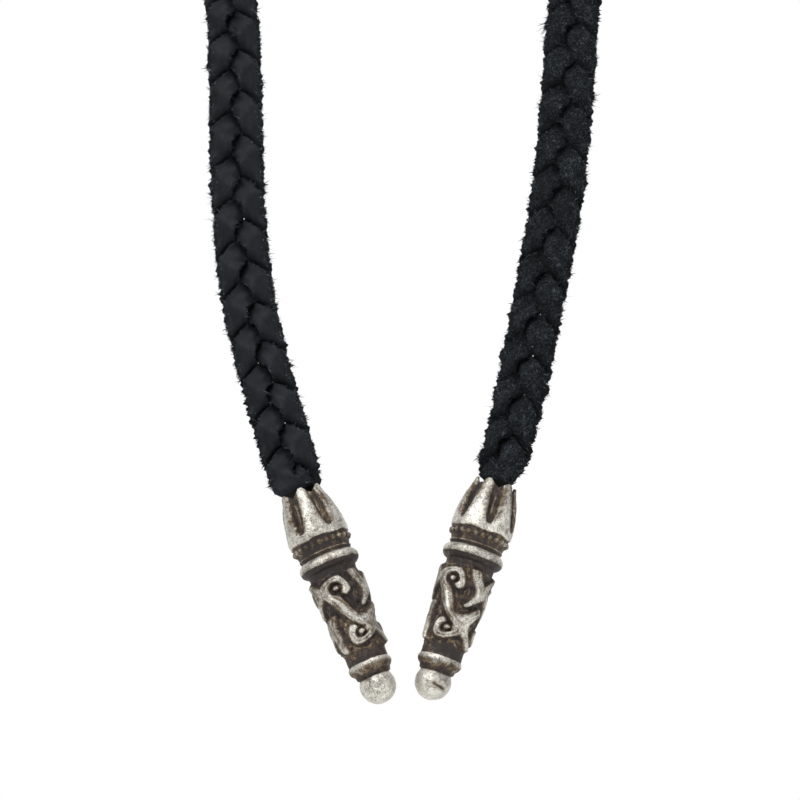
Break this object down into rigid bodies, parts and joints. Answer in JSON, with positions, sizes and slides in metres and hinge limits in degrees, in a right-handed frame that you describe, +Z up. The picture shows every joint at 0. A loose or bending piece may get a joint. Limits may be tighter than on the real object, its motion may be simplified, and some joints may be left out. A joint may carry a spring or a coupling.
{
  "type": "braided leather necklace with cast silver tips",
  "caption": "Necklace plaited from flat black leather laces, held in its worn form and open in front, each end in a cast darkened silver tip with petals, scroll relief and a ball.",
  "frame": {"origin": "at the nape, on the middle of the braid, where the necklace hangs on the back of the neck", "axes": "+X to the viewer's right, +Y backwards from the front to the nape, +Z up; the two ends hang down in front, towards -Y and -Z"},
  "size_m": [0.101, 0.1329, 0.1502],
  "materials": {
    "black_leather": "black grain leather lace with fine lengthwise creases and raw grey fuzzy edges",
    "darkened_silver": "cast silver, bright on the raised parts and darkened in the hollows"
  },
  "bodies": {
    "root": {"lace_a": "black_leather", "lace_b": "black_leather", "lace_c": "black_leather", "tip_left": "darkened_silver", "tip_right": "darkened_silver"}
  },
  "joints": []
}
